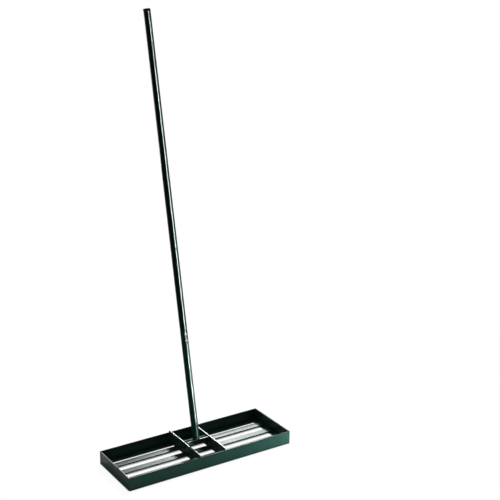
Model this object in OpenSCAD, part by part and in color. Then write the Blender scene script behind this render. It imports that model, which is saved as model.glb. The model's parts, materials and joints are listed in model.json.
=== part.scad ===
/* Lawn leveling rake: an open steel tray on a tilting tube handle.
   Lengths are in millimetres. The origin is the middle of the head on the ground.
   +X runs along the head, +Y points to the back, where the handle leans, and +Z is up. */

/* [Head frame] */
// Length of the head along X
head_l = 762; // [500:1:1200]
// Depth of the head from front to back
head_w = 258; // [220:1:400]
// Height of the upright wall of each frame angle
wall_h = 54; // [40:1:70]
// Thickness of the upright wall
wall_t = 4; // [3.5:0.5:6]
// Width of the inward leg that slides on the ground
leg_w = 24; // [18:1:32]
// Thickness of the inward leg
leg_t = 5; // [3:0.5:6]
// Radius of the head's outer corners, seen from above
corner_r = 3; // [1:0.5:3.5]

/* [Slats] */
// Width of each flat slat
slat_w = 30; // [20:1:36]
// Thickness of each flat slat
slat_t = 6; // [3:0.5:8]
// Room between a slat's end and the end wall
slat_end_gap = 3; // [1:0.5:8]

/* [Cross plates] */
// Distance between the middles of the two cross plates
cross_spacing = 118; // [100:1:180]
// Height of each cross plate
cross_h = 54; // [40:1:60]
// Thickness of each cross plate
cross_t = 4; // [3:0.5:6]

/* [Pivot] */
// Height of the pivot axis above the slats
pivot_rise = 32; // [26:1:38]
// Diameter of the pivot bolts
pivot_d = 8; // [6:0.5:10]
// Radial clearance of the yoke on its bolts
pivot_fit = 0.05; // [0.02:0.01:0.1]
// Width across the flats of the pivot bolt heads and nuts
pivot_hex = 13; // [12:0.5:17]
// Height of the pivot bolt heads
pivot_head_h = 5.3; // [4:0.1:8]
// Height of the pivot lock nuts
pivot_nut_h = 8; // [5:0.5:10]
// Diameter of the pivot washers
pivot_washer_d = 16; // [14:0.5:20]
// Thickness of the washers under the pivot heads and nuts
pivot_washer_t = 1.6; // [1:0.1:2.5]
// Thickness of the spacers between the yoke and the cross plates
spacer_t = 3; // [1:0.5:6]
// Running gap beside each turning face
run_gap = 0.3; // [0.2:0.05:0.6]

/* [Yoke] */
// Width of the flat bar that the yoke is bent from
yoke_w = 32; // [26:1:40]
// Thickness of that bar
yoke_t = 4; // [3:0.5:6]
// Distance from the pivot axis to the yoke's top face
yoke_rise = 20; // [16:1:30]
// Outer radius of the yoke's two bends
bend_r = 7; // [6.5:0.5:10]

/* [Handle] */
// Lean of the handle from upright, in degrees
lean = 12.5; // [0:0.5:40]
// Outer diameter of the handle tubes
tube_d = 30; // [26:1:38]
// Wall of the handle tubes
tube_wall = 1.5; // [1.2:0.1:2.5]
// Length of the lower tube
lower_len = 462; // [300:1:700]
// Length of the middle tube above its seam
middle_len = 675; // [300:1:900]
// Length of the top tube above its seam
top_len = 611; // [300:1:900]

/* [Tube joints] */
// Length of the drawn-down end that slides into the tube below
spigot_len = 70; // [60:1:120]
// Radial clearance of that end in the tube below
spigot_fit = 0.1; // [0.05:0.05:0.3]
// Length of the cone between that end and the full tube
neck_len = 4; // [2:0.5:10]
// Distance from the seam down to the upper joint bolt
joint_drop = 22; // [14:1:24]
// Distance between the two joint bolts
joint_pitch = 24; // [16:1:30]
// Diameter of the joint bolts
joint_d = 6; // [4:0.5:8]
// Diameter of the joint bolts' domed heads
dome_d = 12; // [10:0.5:15]
// Height of those heads
dome_h = 4; // [2.5:0.1:5]
// Width across the flats of the joint nuts
joint_hex = 10; // [9:0.5:13]
// Height of the joint nuts
joint_nut_h = 5; // [3:0.5:7]
// Diameter of the joint washers
joint_washer_d = 12; // [11:0.5:15]
// Thickness of the joint washers
joint_washer_t = 1.6; // [1:0.1:2.5]

/* [End cap] */
// Height of the cap above the top tube
cap_len = 10; // [5:1:30]
// Radius of the cap's top edge
cap_round = 2.5; // [1:0.5:4]
// Depth of the plug inside the top tube
plug_len = 25; // [10:1:60]
// How far the cap's side lies inside the tube's outer face
cap_inset = 0.1; // [0.05:0.05:0.5]
// Radial clearance of the plug in the tube
plug_fit = 0.1; // [0.05:0.05:0.3]

/* [Hidden] */
$fn = 64;
// how far a cut runs past the faces that it opens
overrun = 1;
// clearance of a bolt in a plain hole, a washer or its own nut
hole_play = 0.2;
// seat of a flat head or washer on the round tube
seat_gap = 0.1;
// thread that shows past a nut
bolt_end = 2;

slat_count = 3;
slat_pitch = head_w / (slat_count + 1);
slat_top = leg_t + slat_t;
slat_l = head_l - 2 * (wall_t + slat_end_gap);
cross_l = head_w - 2 * wall_t;
pivot_z = slat_top + pivot_rise;
pivot_r = pivot_d / 2;

// stack on each pivot bolt, as distances from the middle of the head
plate_in = cross_spacing / 2 - cross_t / 2;
plate_out = plate_in + cross_t;
yoke_out = plate_in - run_gap - spacer_t;
yoke_in = yoke_out - yoke_t;
nut_out = yoke_in - pivot_washer_t - run_gap;
nut_in = nut_out - pivot_nut_h;
head_seat = plate_out + pivot_washer_t;

tube_r = tube_d / 2;
bore_r = tube_r - tube_wall;
spigot_r = bore_r - spigot_fit;
joint_r = joint_d / 2;

// distances along the handle from the pivot axis
lower_seam = yoke_rise + lower_len;
upper_seam = lower_seam + middle_len;
tube_top = upper_seam + top_len;
upper_bolt_at = lower_seam - joint_drop;
lower_bolt_at = upper_bolt_at - joint_pitch;

paint = "#1d3a31";
zinc = "#c4c6c8";
black = "#141516";
blackened = "#1e1f21";

// The head's outline from above, with round corners
module head_outline() {
    square([head_l - 2 * corner_r, head_w], center = true);
    square([head_l, head_w - 2 * corner_r], center = true);
    for (x = [-1, 1], y = [-1, 1])
        translate([x * (head_l / 2 - corner_r), y * (head_w / 2 - corner_r)]) circle(corner_r);
}

// A long frame angle at the front of the head
module long_angle() {
    color(paint) intersection() {
        translate([-head_l / 2, -head_w / 2, 0]) union() {
            cube([head_l, wall_t, wall_h]);
            cube([head_l, leg_w, leg_t]);
        }
        translate([0, 0, -overrun]) linear_extrude(wall_h + 2 * overrun) head_outline();
    }
}

// A short frame angle at the left end, fitted between the long ones
module short_angle() {
    color(paint) translate([-head_l / 2, 0, 0]) union() {
        translate([0, -head_w / 2 + wall_t, leg_t]) cube([wall_t, head_w - 2 * wall_t, wall_h - leg_t]);
        translate([0, -head_w / 2 + leg_w, 0]) cube([leg_w, head_w - 2 * leg_w, leg_t]);
    }
}

module front_wall() { long_angle(); }
module back_wall() { mirror([0, 1, 0]) long_angle(); }
module left_end_wall() { short_angle(); }
module right_end_wall() { mirror([1, 0, 0]) short_angle(); }

// A flat slat on the end legs, counted in rows from the middle of the head
module slat(row) {
    color(paint) translate([-slat_l / 2, row * slat_pitch - slat_w / 2, leg_t])
        cube([slat_l, slat_w, slat_t]);
}

module front_slat() { slat(-1); }
module middle_slat() { slat(0); }
module rear_slat() { slat(1); }

// Turns +Z outward along the pivot axis, to the right for side 1 and the left for side -1
module at_pivot(side) {
    translate([0, 0, pivot_z]) mirror([(1 - side) / 2, 0, 0]) rotate([0, 90, 0]) children();
}

// An upright plate that stands on the slats and carries one pivot bolt
module cross_plate(side) {
    color(paint) difference() {
        translate([side * cross_spacing / 2 - cross_t / 2, -cross_l / 2, slat_top])
            cube([cross_t, cross_l, cross_h]);
        at_pivot(side) translate([0, 0, plate_in - overrun])
            cylinder(r = pivot_r + hole_play, h = cross_t + 2 * overrun);
    }
}

module left_cross_plate() { cross_plate(-1); }
module right_cross_plate() { cross_plate(1); }

// A flat ring from one height to another
module ring(outer_r, inner_r, from, to) {
    translate([0, 0, from]) difference() {
        cylinder(r = outer_r, h = to - from);
        translate([0, 0, -overrun]) cylinder(r = inner_r, h = to - from + 2 * overrun);
    }
}

// A hexagonal prism, given its width across the flats
module hexagon(flats, from, to) {
    translate([0, 0, from]) cylinder(d = flats / cos(30), h = to - from, $fn = 6);
}

// A hexagon nut with a round hole
module nut(flats, hole_r, from, to) {
    difference() {
        hexagon(flats, from, to);
        translate([0, 0, from - overrun]) cylinder(r = hole_r, h = to - from + 2 * overrun);
    }
}

module pivot_bolt(side) {
    color(blackened) at_pivot(side) {
        hexagon(pivot_hex, head_seat, head_seat + pivot_head_h);
        translate([0, 0, nut_in - bolt_end]) cylinder(r = pivot_r, h = head_seat - nut_in + bolt_end);
    }
}

module pivot_nut(side) {
    color(blackened) at_pivot(side) nut(pivot_hex, pivot_r + hole_play, nut_in, nut_out);
}

module pivot_washer(side, from, to) {
    color(blackened) at_pivot(side) ring(pivot_washer_d / 2, pivot_r + hole_play, from, to);
}

module left_pivot_bolt() { pivot_bolt(-1); }
module right_pivot_bolt() { pivot_bolt(1); }
module left_pivot_nut() { pivot_nut(-1); }
module right_pivot_nut() { pivot_nut(1); }
module left_head_washer() { pivot_washer(-1, plate_out, head_seat); }
module right_head_washer() { pivot_washer(1, plate_out, head_seat); }
module left_spacer() { pivot_washer(-1, yoke_out, yoke_out + spacer_t); }
module right_spacer() { pivot_washer(1, yoke_out, yoke_out + spacer_t); }
module left_nut_washer() { pivot_washer(-1, yoke_in - pivot_washer_t, yoke_in); }
module right_nut_washer() { pivot_washer(1, yoke_in - pivot_washer_t, yoke_in); }

// The leaning handle's own frame: the pivot axis along X, the tubes along Z
module on_handle() {
    translate([0, 0, pivot_z]) rotate([-lean, 0, 0]) children();
}

// A doorway outline with two round top corners
module arch(half_w, bottom, top, round_r) {
    translate([-half_w, bottom]) square([2 * half_w, top - round_r - bottom]);
    translate([-half_w + round_r, bottom]) square([2 * (half_w - round_r), top - bottom]);
    for (side = [-1, 1])
        translate([side * (half_w - round_r), top - round_r]) circle(round_r);
}

// A flat bar bent to an upside-down U, with round feet on the pivot bolts
module yoke() {
    foot_r = yoke_w / 2;
    color(paint) on_handle() difference() {
        intersection() {
            rotate([90, 0, 0]) translate([0, 0, -foot_r - overrun])
                linear_extrude(yoke_w + 2 * overrun) difference() {
                    arch(yoke_out, -foot_r, yoke_rise, bend_r);
                    arch(yoke_in, -foot_r - overrun, yoke_rise - yoke_t, bend_r - yoke_t);
                }
            rotate([90, 0, 90]) translate([0, 0, -yoke_out - overrun])
                linear_extrude(2 * (yoke_out + overrun)) {
                    circle(foot_r);
                    translate([-foot_r, 0]) square([yoke_w, yoke_rise]);
                }
        }
        rotate([0, 90, 0]) translate([0, 0, -yoke_out - overrun])
            cylinder(r = pivot_r + pivot_fit, h = 2 * (yoke_out + overrun));
    }
}

// Turns +Z to the handle's front at a distance along it
module across_handle(at) {
    on_handle() translate([0, 0, at]) rotate([90, 0, 0]) children();
}

// The two holes that the joint bolts pass through
module joint_holes() {
    for (at = [upper_bolt_at, lower_bolt_at])
        translate([0, 0, at]) rotate([90, 0, 0]) translate([0, 0, -tube_r - overrun])
            cylinder(r = joint_r + hole_play, h = tube_d + 2 * overrun);
}

module lower_tube() {
    color(paint) on_handle() difference() {
        ring(tube_r, bore_r, yoke_rise, lower_seam);
        joint_holes();
    }
}

// A tube whose lower end is drawn down to slide into the tube below the seam
module spigot_tube(seam, length) {
    rotate_extrude() polygon([
        [spigot_r - tube_wall, seam - spigot_len],
        [spigot_r, seam - spigot_len],
        [spigot_r, seam],
        [tube_r, seam + neck_len],
        [tube_r, seam + length],
        [bore_r, seam + length],
        [bore_r, seam + neck_len],
        [spigot_r - tube_wall, seam]]);
}

module middle_tube() {
    color(paint) on_handle() difference() {
        spigot_tube(lower_seam, middle_len);
        joint_holes();
    }
}

module top_tube() {
    color(paint) on_handle() spigot_tube(upper_seam, top_len);
}

// A domed bolt from the handle's front to its back
module joint_bolt(at) {
    seat = tube_r + seat_gap;
    dome_r = (pow(dome_d / 2, 2) + pow(dome_h, 2)) / (2 * dome_h);
    back = seat + joint_washer_t + joint_nut_h + bolt_end;
    color(zinc) across_handle(at) {
        intersection() {
            translate([0, 0, seat]) cylinder(d = dome_d, h = dome_h);
            translate([0, 0, seat + dome_h - dome_r]) sphere(dome_r);
        }
        translate([0, 0, -back]) cylinder(r = joint_r, h = back + seat);
    }
}

module joint_washer(at) {
    back = tube_r + seat_gap;
    color(zinc) across_handle(at)
        ring(joint_washer_d / 2, joint_r + hole_play, -back - joint_washer_t, -back);
}

module joint_nut(at) {
    back = tube_r + seat_gap + joint_washer_t;
    color(zinc) across_handle(at) nut(joint_hex, joint_r + hole_play, -back - joint_nut_h, -back);
}

module upper_joint_bolt() { joint_bolt(upper_bolt_at); }
module lower_joint_bolt() { joint_bolt(lower_bolt_at); }
module upper_joint_washer() { joint_washer(upper_bolt_at); }
module lower_joint_washer() { joint_washer(lower_bolt_at); }
module upper_joint_nut() { joint_nut(upper_bolt_at); }
module lower_joint_nut() { joint_nut(lower_bolt_at); }

// A plug with a flat, round-edged top that closes the tube
module end_cap() {
    cap_r = tube_r - cap_inset;
    color(black) on_handle() translate([0, 0, tube_top]) {
        translate([0, 0, -plug_len]) cylinder(r = bore_r - plug_fit, h = plug_len);
        cylinder(r = cap_r, h = cap_len - cap_round);
        cylinder(r = cap_r - cap_round, h = cap_len);
        translate([0, 0, cap_len - cap_round]) rotate_extrude() intersection() {
            translate([cap_r - cap_round, 0]) circle(cap_round);
            square([cap_r, cap_round]);
        }
    }
}

front_wall();
back_wall();
left_end_wall();
right_end_wall();
front_slat();
middle_slat();
rear_slat();
left_cross_plate();
right_cross_plate();
left_pivot_bolt();
right_pivot_bolt();
left_pivot_nut();
right_pivot_nut();
left_head_washer();
right_head_washer();
left_spacer();
right_spacer();
left_nut_washer();
right_nut_washer();
yoke();
lower_tube();
middle_tube();
top_tube();
end_cap();
upper_joint_bolt();
lower_joint_bolt();
upper_joint_nut();
lower_joint_nut();
upper_joint_washer();
lower_joint_washer();
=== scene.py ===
"""Looks of a lawn leveling rake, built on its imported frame.

Lengths are in metres. +X runs along the head, +Y to the back, where the handle leans, and +Z up.
The origin is the middle of the head on the ground.
"""

import json
import logging
import math
from collections.abc import Callable, Iterable, Sequence
from dataclasses import dataclass, replace
from enum import Enum
from typing import Any

import bmesh
import bpy
from mathutils import Matrix, Vector


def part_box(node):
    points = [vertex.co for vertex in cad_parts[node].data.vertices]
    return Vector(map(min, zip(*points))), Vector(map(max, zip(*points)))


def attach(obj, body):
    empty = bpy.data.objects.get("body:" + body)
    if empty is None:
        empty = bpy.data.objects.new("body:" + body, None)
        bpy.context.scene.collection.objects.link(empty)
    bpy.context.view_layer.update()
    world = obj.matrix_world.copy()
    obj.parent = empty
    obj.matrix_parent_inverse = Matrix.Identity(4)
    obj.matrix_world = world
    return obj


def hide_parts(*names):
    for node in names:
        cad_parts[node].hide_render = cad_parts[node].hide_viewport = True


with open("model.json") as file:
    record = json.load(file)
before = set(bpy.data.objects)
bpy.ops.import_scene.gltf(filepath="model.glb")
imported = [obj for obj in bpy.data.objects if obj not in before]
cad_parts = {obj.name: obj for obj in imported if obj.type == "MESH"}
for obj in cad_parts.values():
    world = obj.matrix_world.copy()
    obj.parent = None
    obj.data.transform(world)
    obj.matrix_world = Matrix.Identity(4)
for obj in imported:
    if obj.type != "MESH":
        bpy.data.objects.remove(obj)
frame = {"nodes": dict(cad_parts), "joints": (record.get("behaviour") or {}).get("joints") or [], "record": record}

log = logging.getLogger("leveling_rake")

Colour = tuple[float, float, float, float]
Measure = float | Callable[[float], float]
Ring = tuple[Measure, Measure]
Seam = list[Vector]
Station = tuple[Vector, Vector, float]

MM = 0.001
# points that are closer than this lie in the same place
TOUCH = 0.01 * MM
# the face attribute that marks rounded edges and narrow upper faces
EDGE = "edge"
# an upper face that is narrower than this counts as an edge
NARROW = 3.0 * MM
# edges that turn by more than this, in radians, are rounded
SHARP_TURN = 0.6
# edges that still turn by more than this stay sharp in the shading
SHADED_TURN = math.radians(40.0)
# the handle's tubes, which have lamps of their own
TUBES = ("lower_handle_tube", "middle_handle_tube", "top_handle_tube")


class Body(Enum):
    """The two rigid bodies that pieces ride on."""

    HEAD = "head"
    HANDLE = "handle"


class Slot(Enum):
    """The record's material slots."""

    PAINT = "green_paint"
    ZINC = "zinc"
    BLACK_STEEL = "black_steel"
    PLASTIC = "black_plastic"


class Reach(Enum):
    """What a lamp shows on: every surface, gloss alone or plain colour alone."""

    ALL = "all"
    GLOSS = "gloss"
    FILL = "fill"


class Wire:
    """An output of a node tree, on which Python's operators add Math nodes."""

    def __init__(self, graph: "Graph", socket: bpy.types.NodeSocket | None) -> None:
        """Keeps the socket and the graph that it belongs to."""
        self.graph = graph
        self.socket = socket

    def pick(self, name: str | int) -> "Wire":
        """Gives another output of the same node."""
        return Wire(self.graph, self.socket.node.outputs[name])

    def maths(self, operation: str, left: Any, right: Any) -> "Wire":
        """Adds a Math node on two values."""
        return self.graph.add("ShaderNodeMath", {"operation": operation}, {0: left, 1: right})

    def __add__(self, other: Any) -> "Wire":
        """Adds a value."""
        return self.maths("ADD", self, other)

    def __radd__(self, other: Any) -> "Wire":
        """Is added to a value."""
        return self.maths("ADD", other, self)

    def __sub__(self, other: Any) -> "Wire":
        """Takes a value away."""
        return self.maths("SUBTRACT", self, other)

    def __rsub__(self, other: Any) -> "Wire":
        """Is taken away from a value."""
        return self.maths("SUBTRACT", other, self)

    def __mul__(self, other: Any) -> "Wire":
        """Multiplies by a value."""
        return self.maths("MULTIPLY", self, other)

    def __rmul__(self, other: Any) -> "Wire":
        """Multiplies a value."""
        return self.maths("MULTIPLY", other, self)

    def __truediv__(self, other: Any) -> "Wire":
        """Divides by a value."""
        return self.maths("DIVIDE", self, other)

    def __rtruediv__(self, other: Any) -> "Wire":
        """Divides a value."""
        return self.maths("DIVIDE", other, self)

    def __mod__(self, other: Any) -> "Wire":
        """Gives the remainder of a division."""
        return self.maths("FLOORED_MODULO", self, other)

    def __rmod__(self, other: Any) -> "Wire":
        """Gives the remainder of a value divided by this one."""
        return self.maths("FLOORED_MODULO", other, self)


class Graph:
    """A node tree that is written as expressions."""

    def __init__(self, tree: bpy.types.NodeTree) -> None:
        """Keeps the tree that the nodes go into."""
        self.tree = tree

    def add(self, kind: str, settings: dict[str, Any] | None = None,
            sockets: dict[str | int, Any] | None = None) -> Wire:
        """Adds a node.

        Args:
            kind: the node's type.
            settings: its properties, which are set first.
            sockets: for each input, by name or number, a value, a wire or a list of wires.

        Returns:
            The node's first output, if it has one.
        """
        node = self.tree.nodes.new(kind)
        for key, value in (settings or {}).items():
            setattr(node, key, value)
        for key, value in (sockets or {}).items():
            for one in value if isinstance(value, list) else [value]:
                if isinstance(one, Wire):
                    self.tree.links.new(one.socket, node.inputs[key])
                else:
                    node.inputs[key].default_value = one
        return Wire(self, node.outputs[0] if len(node.outputs) else None)

    def grain(self, place: Wire, size: float, detail: float = 2.0) -> Wire:
        """Adds noise about 0.5.

        Args:
            place: the coordinates that it follows.
            size: about the size of its features.
            detail: how many finer layers it has.

        Returns:
            The noise, from 0 to 1.
        """
        return self.add("ShaderNodeTexNoise", {}, {"Vector": place, "Scale": 1.0 / size, "Detail": detail})

    def between(self, value: Wire, low: float, high: float) -> Wire:
        """Rises smoothly from 0 to 1 between two values."""
        return self.add("ShaderNodeMapRange", {"interpolation_type": "SMOOTHSTEP"},
                        {"Value": value, "From Min": low, "From Max": high})

    def blend(self, share: Any, first: Any, second: Any) -> Wire:
        """Mixes two colours, by a share of the second."""
        return self.add("ShaderNodeMix", {"data_type": "RGBA"}, {0: share, 6: first, 7: second}).pick(2)

    def join(self, share: Wire, first: Wire, second: Wire) -> Wire:
        """Mixes two shaders, by a share of the second."""
        return self.add("ShaderNodeMixShader", {}, {0: share, 1: first, 2: second})

    def stretch(self, place: Wire, scale: tuple[float, float, float]) -> Wire:
        """Scales coordinates by axis."""
        return self.add("ShaderNodeMapping", {}, {"Vector": place, "Scale": scale})

    def place(self) -> Wire:
        """Gives the piece's own coordinates."""
        return self.add("ShaderNodeTexCoord").pick("Object")

    def edge(self) -> Wire:
        """Gives how strongly a face is marked as edge."""
        return self.add("ShaderNodeAttribute", {"attribute_name": EDGE}).pick("Fac")

    def skin(self, height: Wire, strength: float, depth: float) -> Wire:
        """Gives the normal of a skin with a fine relief."""
        return self.add("ShaderNodeBump", {}, {"Strength": strength, "Distance": depth, "Height": height})


def blank_graph(owner: bpy.types.Material | bpy.types.World) -> Graph:
    """Empties the node tree of a material or a world.

    Args:
        owner: what the tree belongs to.

    Returns:
        The empty tree's graph.
    """
    owner.use_nodes = True
    owner.node_tree.nodes.clear()
    return Graph(owner.node_tree)


def put(name: str, data: bpy.types.ID) -> bpy.types.Object:
    """Adds an object to the scene.

    Args:
        name: the object's name.
        data: its mesh, lamp or camera.

    Returns:
        The object.
    """
    added = bpy.data.objects.new(name, data)
    bpy.context.scene.collection.objects.link(added)
    return added


def mesh_of(name: str, shape: bmesh.types.BMesh) -> bpy.types.Mesh:
    """Turns a shape into a mesh.

    Args:
        name: the mesh's name.
        shape: the shape, which is used up.

    Returns:
        The mesh.
    """
    mesh = bpy.data.meshes.new(name)
    shape.to_mesh(mesh)
    shape.free()
    return mesh


@dataclass(frozen=True)
class Finish:
    """A finish of the rake: its material's name and the record's slot."""

    name: str
    slot: Slot

    def material(self) -> bpy.types.Material:
        """Makes the material on first use.

        Returns:
            The material.
        """
        made = bpy.data.materials.get(self.name)
        if made is None:
            made = bpy.data.materials.new(self.name)
            graph = blank_graph(made)
            graph.add("ShaderNodeOutputMaterial", {}, {"Surface": self.shade(graph)})
        return made

    def shade(self, graph: Graph) -> Wire:
        """Lays out the finish's nodes and gives its shader."""
        raise NotImplementedError


@dataclass(frozen=True)
class PowderCoat(Finish):
    """Baked paint: semi-gloss, a little cloudy, with an orange-peel skin.

    It is thin and glossy on edges, and darkened by painted shade towards the sole. It can be dull near the
    middle of the head, which keeps the light out of the bay under the yoke.
    """

    tone: Colour = (0.0085, 0.0305, 0.0245, 1.0)
    cloud: Colour = (0.0100, 0.0345, 0.0275, 1.0)
    thin: Colour = (0.0190, 0.0480, 0.0400, 1.0)
    # painted shade: the colour that the coat darkens to near the sole, standing for shade at the foot
    sole_shade: Colour = (0.0020, 0.0070, 0.0055, 1.0)
    sheen: Colour = (0.84, 1.0, 0.98, 1.0)
    roughness: float = 0.40
    specular: float = 0.08
    uneven: float = 0.05
    rim: float = 0.0
    rim_roughness: float = 0.30
    # height under which the coat is darkened by painted shade
    sole: float = 5.0 * MM
    rubbed: float = 0.0
    rubbed_rise: float = 0.45
    cloud_size: float = 70.0 * MM
    smear_size: float = 30.0 * MM
    smear_stretch: tuple[float, float, float] = (0.4, 1.0, 0.4)
    peel_size: float = 1.6 * MM
    peel_depth: float = 0.012 * MM
    peel_strength: float = 0.35
    chip_size: float = 5.0 * MM
    chip_rise: float = 0.10
    dust_size: float = 0.35 * MM
    dust_share: float = 0.12
    dust_rise: float = 0.02

    def shade(self, graph: Graph) -> Wire:
        """Lays out tone, edge, gloss and skin.

        Args:
            graph: the material's graph.

        Returns:
            The coat's shader.
        """
        place = graph.place()
        edge = graph.edge()
        axes = graph.add("ShaderNodeSeparateXYZ", {}, {0: place})
        cloud = graph.grain(place, self.cloud_size, 4.0)
        peel = graph.grain(place, self.peel_size, 1.0)
        dust = graph.between(graph.grain(place, self.dust_size, 0.0), 0.62, 0.74)
        smear = graph.grain(graph.stretch(place, self.smear_stretch), self.smear_size, 3.0)
        chips = graph.between(graph.grain(place, self.chip_size, 3.0), 0.46, 0.66)
        worn = edge * (0.25 + 0.75 * chips)
        # painted shade: how strongly the coat darkens towards the sole
        sole_shaded = graph.between(axes.pick("Z"), self.sole, 0.3 * self.sole)
        body = graph.blend(graph.between(cloud, 0.3, 0.7), self.tone, self.cloud)
        body = graph.blend(worn, body, self.thin)
        body = graph.blend(self.dust_share * dust, body, self.thin)
        # painted shade at the sole
        body = graph.blend(sole_shaded, body, self.sole_shade)
        rough = self.roughness + self.uneven * (cloud - 0.5) + self.uneven * (smear - 0.5)
        rough += self.dust_rise * dust + self.chip_rise * worn
        if self.rubbed:
            off_middle = axes.pick("X") * axes.pick("X")
            rough += self.rubbed_rise * graph.between(off_middle, self.rubbed ** 2, 0.9 * self.rubbed ** 2)
        return graph.add("ShaderNodeBsdfPrincipled", {}, {
            "Base Color": body, "Roughness": rough, "Coat Weight": self.rim * edge,
            "Normal": graph.skin(peel, self.peel_strength, self.peel_depth),
            "Coat Roughness": self.rim_roughness, "IOR": 1.5,
            "Specular IOR Level": self.specular, "Specular Tint": self.sheen})


@dataclass(frozen=True)
class SteelSkin(Finish):
    """Plated or blackened steel: a slow bloom of two tones, small spots and tool marks."""

    tone: Colour
    bloom: Colour
    spot: Colour
    roughness: float
    bloom_size: float
    bloom_rise: float
    spot_size: float
    spot_detail: float
    spot_start: float
    spot_share: float
    spot_rise: float
    mark_size: float
    mark_depth: float = 0.015 * MM
    mark_strength: float = 0.25

    def shade(self, graph: Graph) -> Wire:
        """Lays out bloom, spots and tool marks.

        Args:
            graph: the material's graph.

        Returns:
            The steel's shader.
        """
        place = graph.place()
        bloom = graph.grain(place, self.bloom_size, 3.0)
        grain = graph.grain(place, self.spot_size, self.spot_detail)
        spots = graph.between(grain, self.spot_start, self.spot_start + 0.20)
        marks = graph.grain(place, self.mark_size, 2.0)
        body = graph.blend(graph.between(bloom, 0.35, 0.65), self.tone, self.bloom)
        return graph.add("ShaderNodeBsdfPrincipled", {}, {
            "Base Color": graph.blend(self.spot_share * spots, body, self.spot),
            "Roughness": self.roughness + self.bloom_rise * (bloom - 0.5) + self.spot_rise * spots,
            "Normal": graph.skin(marks, self.mark_strength, self.mark_depth), "Metallic": 1.0})


@dataclass(frozen=True)
class ZincPlate(SteelSkin):
    """Bright zinc plating with a faint cold and warm bloom and dull spots."""

    tone: Colour = (0.44, 0.46, 0.48, 1.0)
    bloom: Colour = (0.50, 0.49, 0.45, 1.0)
    spot: Colour = (0.26, 0.26, 0.26, 1.0)
    roughness: float = 0.32
    bloom_size: float = 6.0 * MM
    bloom_rise: float = 0.14
    spot_size: float = 1.1 * MM
    spot_detail: float = 3.0
    spot_start: float = 0.58
    spot_share: float = 0.6
    spot_rise: float = 0.18
    mark_size: float = 0.25 * MM


@dataclass(frozen=True)
class BlackOxide(SteelSkin):
    """Oiled black-oxide steel of one tone, rubbed to bare metal in spots."""

    tone: Colour = (0.022, 0.022, 0.024, 1.0)
    bloom: Colour = (0.022, 0.022, 0.024, 1.0)
    spot: Colour = (0.110, 0.108, 0.105, 1.0)
    roughness: float = 0.34
    bloom_size: float = 5.0 * MM
    bloom_rise: float = 0.20
    spot_size: float = 0.9 * MM
    spot_detail: float = 4.0
    spot_start: float = 0.60
    spot_share: float = 0.5
    spot_rise: float = 0.10
    mark_size: float = 0.3 * MM


@dataclass(frozen=True)
class MouldedPlastic(Finish):
    """Satin black plastic with a spark-eroded grain and scuffed edges."""

    tone: Colour = (0.010, 0.010, 0.011, 1.0)
    scuff: Colour = (0.060, 0.060, 0.062, 1.0)
    roughness: float = 0.42
    rise: float = 0.15
    specular: float = 0.05
    grain_size: float = 0.4 * MM
    grain_depth: float = 0.03 * MM
    grain_strength: float = 0.4
    scuff_size: float = 3.0 * MM

    def shade(self, graph: Graph) -> Wire:
        """Lays out grain and scuffs.

        Args:
            graph: the material's graph.

        Returns:
            The plastic's shader.
        """
        place = graph.place()
        grain = graph.grain(place, self.grain_size, 3.0)
        scuff = graph.between(graph.grain(place, self.scuff_size, 5.0), 0.60, 0.80)
        return graph.add("ShaderNodeBsdfPrincipled", {}, {
            "Base Color": graph.blend(scuff * (0.25 + 0.5 * graph.edge()), self.tone, self.scuff),
            "Roughness": self.roughness + self.rise * (grain - 0.5) + self.rise * scuff,
            "Normal": graph.skin(grain, self.grain_strength, self.grain_depth),
            "Specular IOR Level": self.specular, "IOR": 1.48})


class NodeShape:
    """A Geometry Nodes tree with named inputs, which ends in realized geometry of one material."""

    def __init__(self, name: str, inputs: dict[str, str]) -> None:
        """Makes the tree and its inputs.

        Args:
            name: the tree's name.
            inputs: the type of each input's socket, by the input's name.
        """
        self.tree = bpy.data.node_groups.new(name, "GeometryNodeTree")
        self.graph = Graph(self.tree)
        shared = {"Geometry": "NodeSocketGeometry", **inputs, "Material": "NodeSocketMaterial"}
        for label, kind in shared.items():
            self.tree.interface.new_socket(label, in_out="INPUT", socket_type=kind)
        self.tree.interface.new_socket("Geometry", in_out="OUTPUT", socket_type="NodeSocketGeometry")
        self.entry = self.graph.add("NodeGroupInput")

    def __getitem__(self, name: str) -> Wire:
        """Gives an input of the tree."""
        return self.entry.pick(name)

    def close(self, geometry: Wire) -> "NodeShape":
        """Realizes the geometry, sets its material and hands it out.

        Args:
            geometry: what the tree has made.

        Returns:
            This tree.
        """
        real = self.graph.add("GeometryNodeRealizeInstances", {}, {"Geometry": geometry})
        dressed = self.graph.add("GeometryNodeSetMaterial", {}, {
            "Geometry": real, "Material": self["Material"]})
        self.graph.add("NodeGroupOutput", {}, {"Geometry": dressed})
        return self

    def identifier(self, name: str) -> str:
        """Gives the identifier of an input by its name."""
        return next(item.identifier for item in self.tree.interface.items_tree
                    if item.in_out == "INPUT" and item.name == name)


def row_shape() -> NodeShape:
    """Makes the tree that repeats a shape along a line, each copy turned on from the last.

    Returns:
        The tree.
    """
    row = NodeShape("row", {"Count": "NodeSocketInt", "Start": "NodeSocketVector", "Step": "NodeSocketVector",
                            "Turn": "NodeSocketVector", "Turn Step": "NodeSocketVector"})
    graph = row.graph
    line = graph.add("GeometryNodeMeshLine", {"mode": "OFFSET"},
                     {"Count": row["Count"], "Start Location": row["Start"], "Offset": row["Step"]})
    index = graph.add("GeometryNodeInputIndex")
    further = graph.add("ShaderNodeVectorMath", {"operation": "SCALE"}, {0: row["Turn Step"], "Scale": index})
    turn = graph.add("ShaderNodeVectorMath", {"operation": "ADD"}, {0: row["Turn"], 1: further})
    rotation = graph.add("FunctionNodeEulerToRotation", {}, {"Euler": turn})
    return row.close(graph.add("GeometryNodeInstanceOnPoints", {}, {
        "Points": line, "Instance": row["Geometry"], "Rotation": rotation}))


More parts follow.
